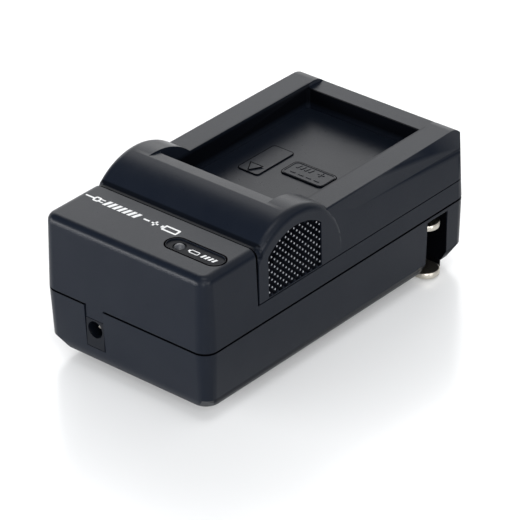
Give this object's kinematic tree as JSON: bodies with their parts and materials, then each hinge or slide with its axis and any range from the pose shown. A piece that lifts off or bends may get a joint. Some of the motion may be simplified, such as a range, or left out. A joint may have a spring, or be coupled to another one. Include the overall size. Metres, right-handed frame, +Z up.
{
  "type": "camera battery charger",
  "caption": "Travel charger with a battery bay behind a humped contact cover, grip panels, a low-voltage socket, a charge lamp and a folding mains plug in its foot.",
  "frame": {"origin": "centre of the charger's footprint on the surface it stands on", "axes": "+X towards the side the folded blades point to, +Y towards the back, away from the socket face, +Z up"},
  "size_m": [0.0486, 0.0912, 0.041],
  "materials": {
    "case_plastic": "satin moulded, fine spark texture",
    "window_plastic": "smoked, semi-gloss",
    "lamp": "frosted lens",
    "black_insert": "moulded black",
    "gold_contact": "gold flashed",
    "nickel": "nickel plated, satin",
    "screw_steel": "zinc",
    "board": "solder mask",
    "ferrite": "ferrite grey",
    "tape": "polyester tape",
    "sleeve": "shrink sleeve",
    "resistor": "lacquer"
  },
  "bodies": {
    "housing": {"base_shell": "case_plastic", "upper_shell": "case_plastic", "bay_module": "case_plastic", "indicator_window": "window_plastic", "charge_lamp": "lamp", "contact_block": "black_insert", "battery_contact_plus": "gold_contact", "battery_contact_sense": "gold_contact", "battery_contact_minus": "gold_contact", "socket_body": "black_insert", "socket_pin": "nickel", "socket_spring": "nickel", "circuit_board": "board", "transformer_core": "ferrite", "transformer_winding": "tape", "mains_capacitor": "sleeve", "output_capacitor": "sleeve", "bridge_rectifier": "black_insert", "fuse_resistor": "resistor", "controller_chip": "black_insert", "power_transistor": "black_insert", "mains_spring_left": "gold_contact", "mains_spring_right": "gold_contact", "detent_spring": "nickel", "case_screw_1": "screw_steel", "case_screw_2": "screw_steel", "case_screw_3": "screw_steel", "case_screw_4": "screw_steel"},
    "plug": {"plug_rotor": "black_insert", "plug_blade_upper": "nickel", "plug_blade_lower": "nickel"}
  },
  "joints": [
    {"name": "plug_fold", "type": "hinge", "parent": "housing", "child": "plug", "pos_m": [-0.0003, 0.03445, 0.00775], "axis": [0, 1, 0], "range_deg": [0, 90]}
  ]
}
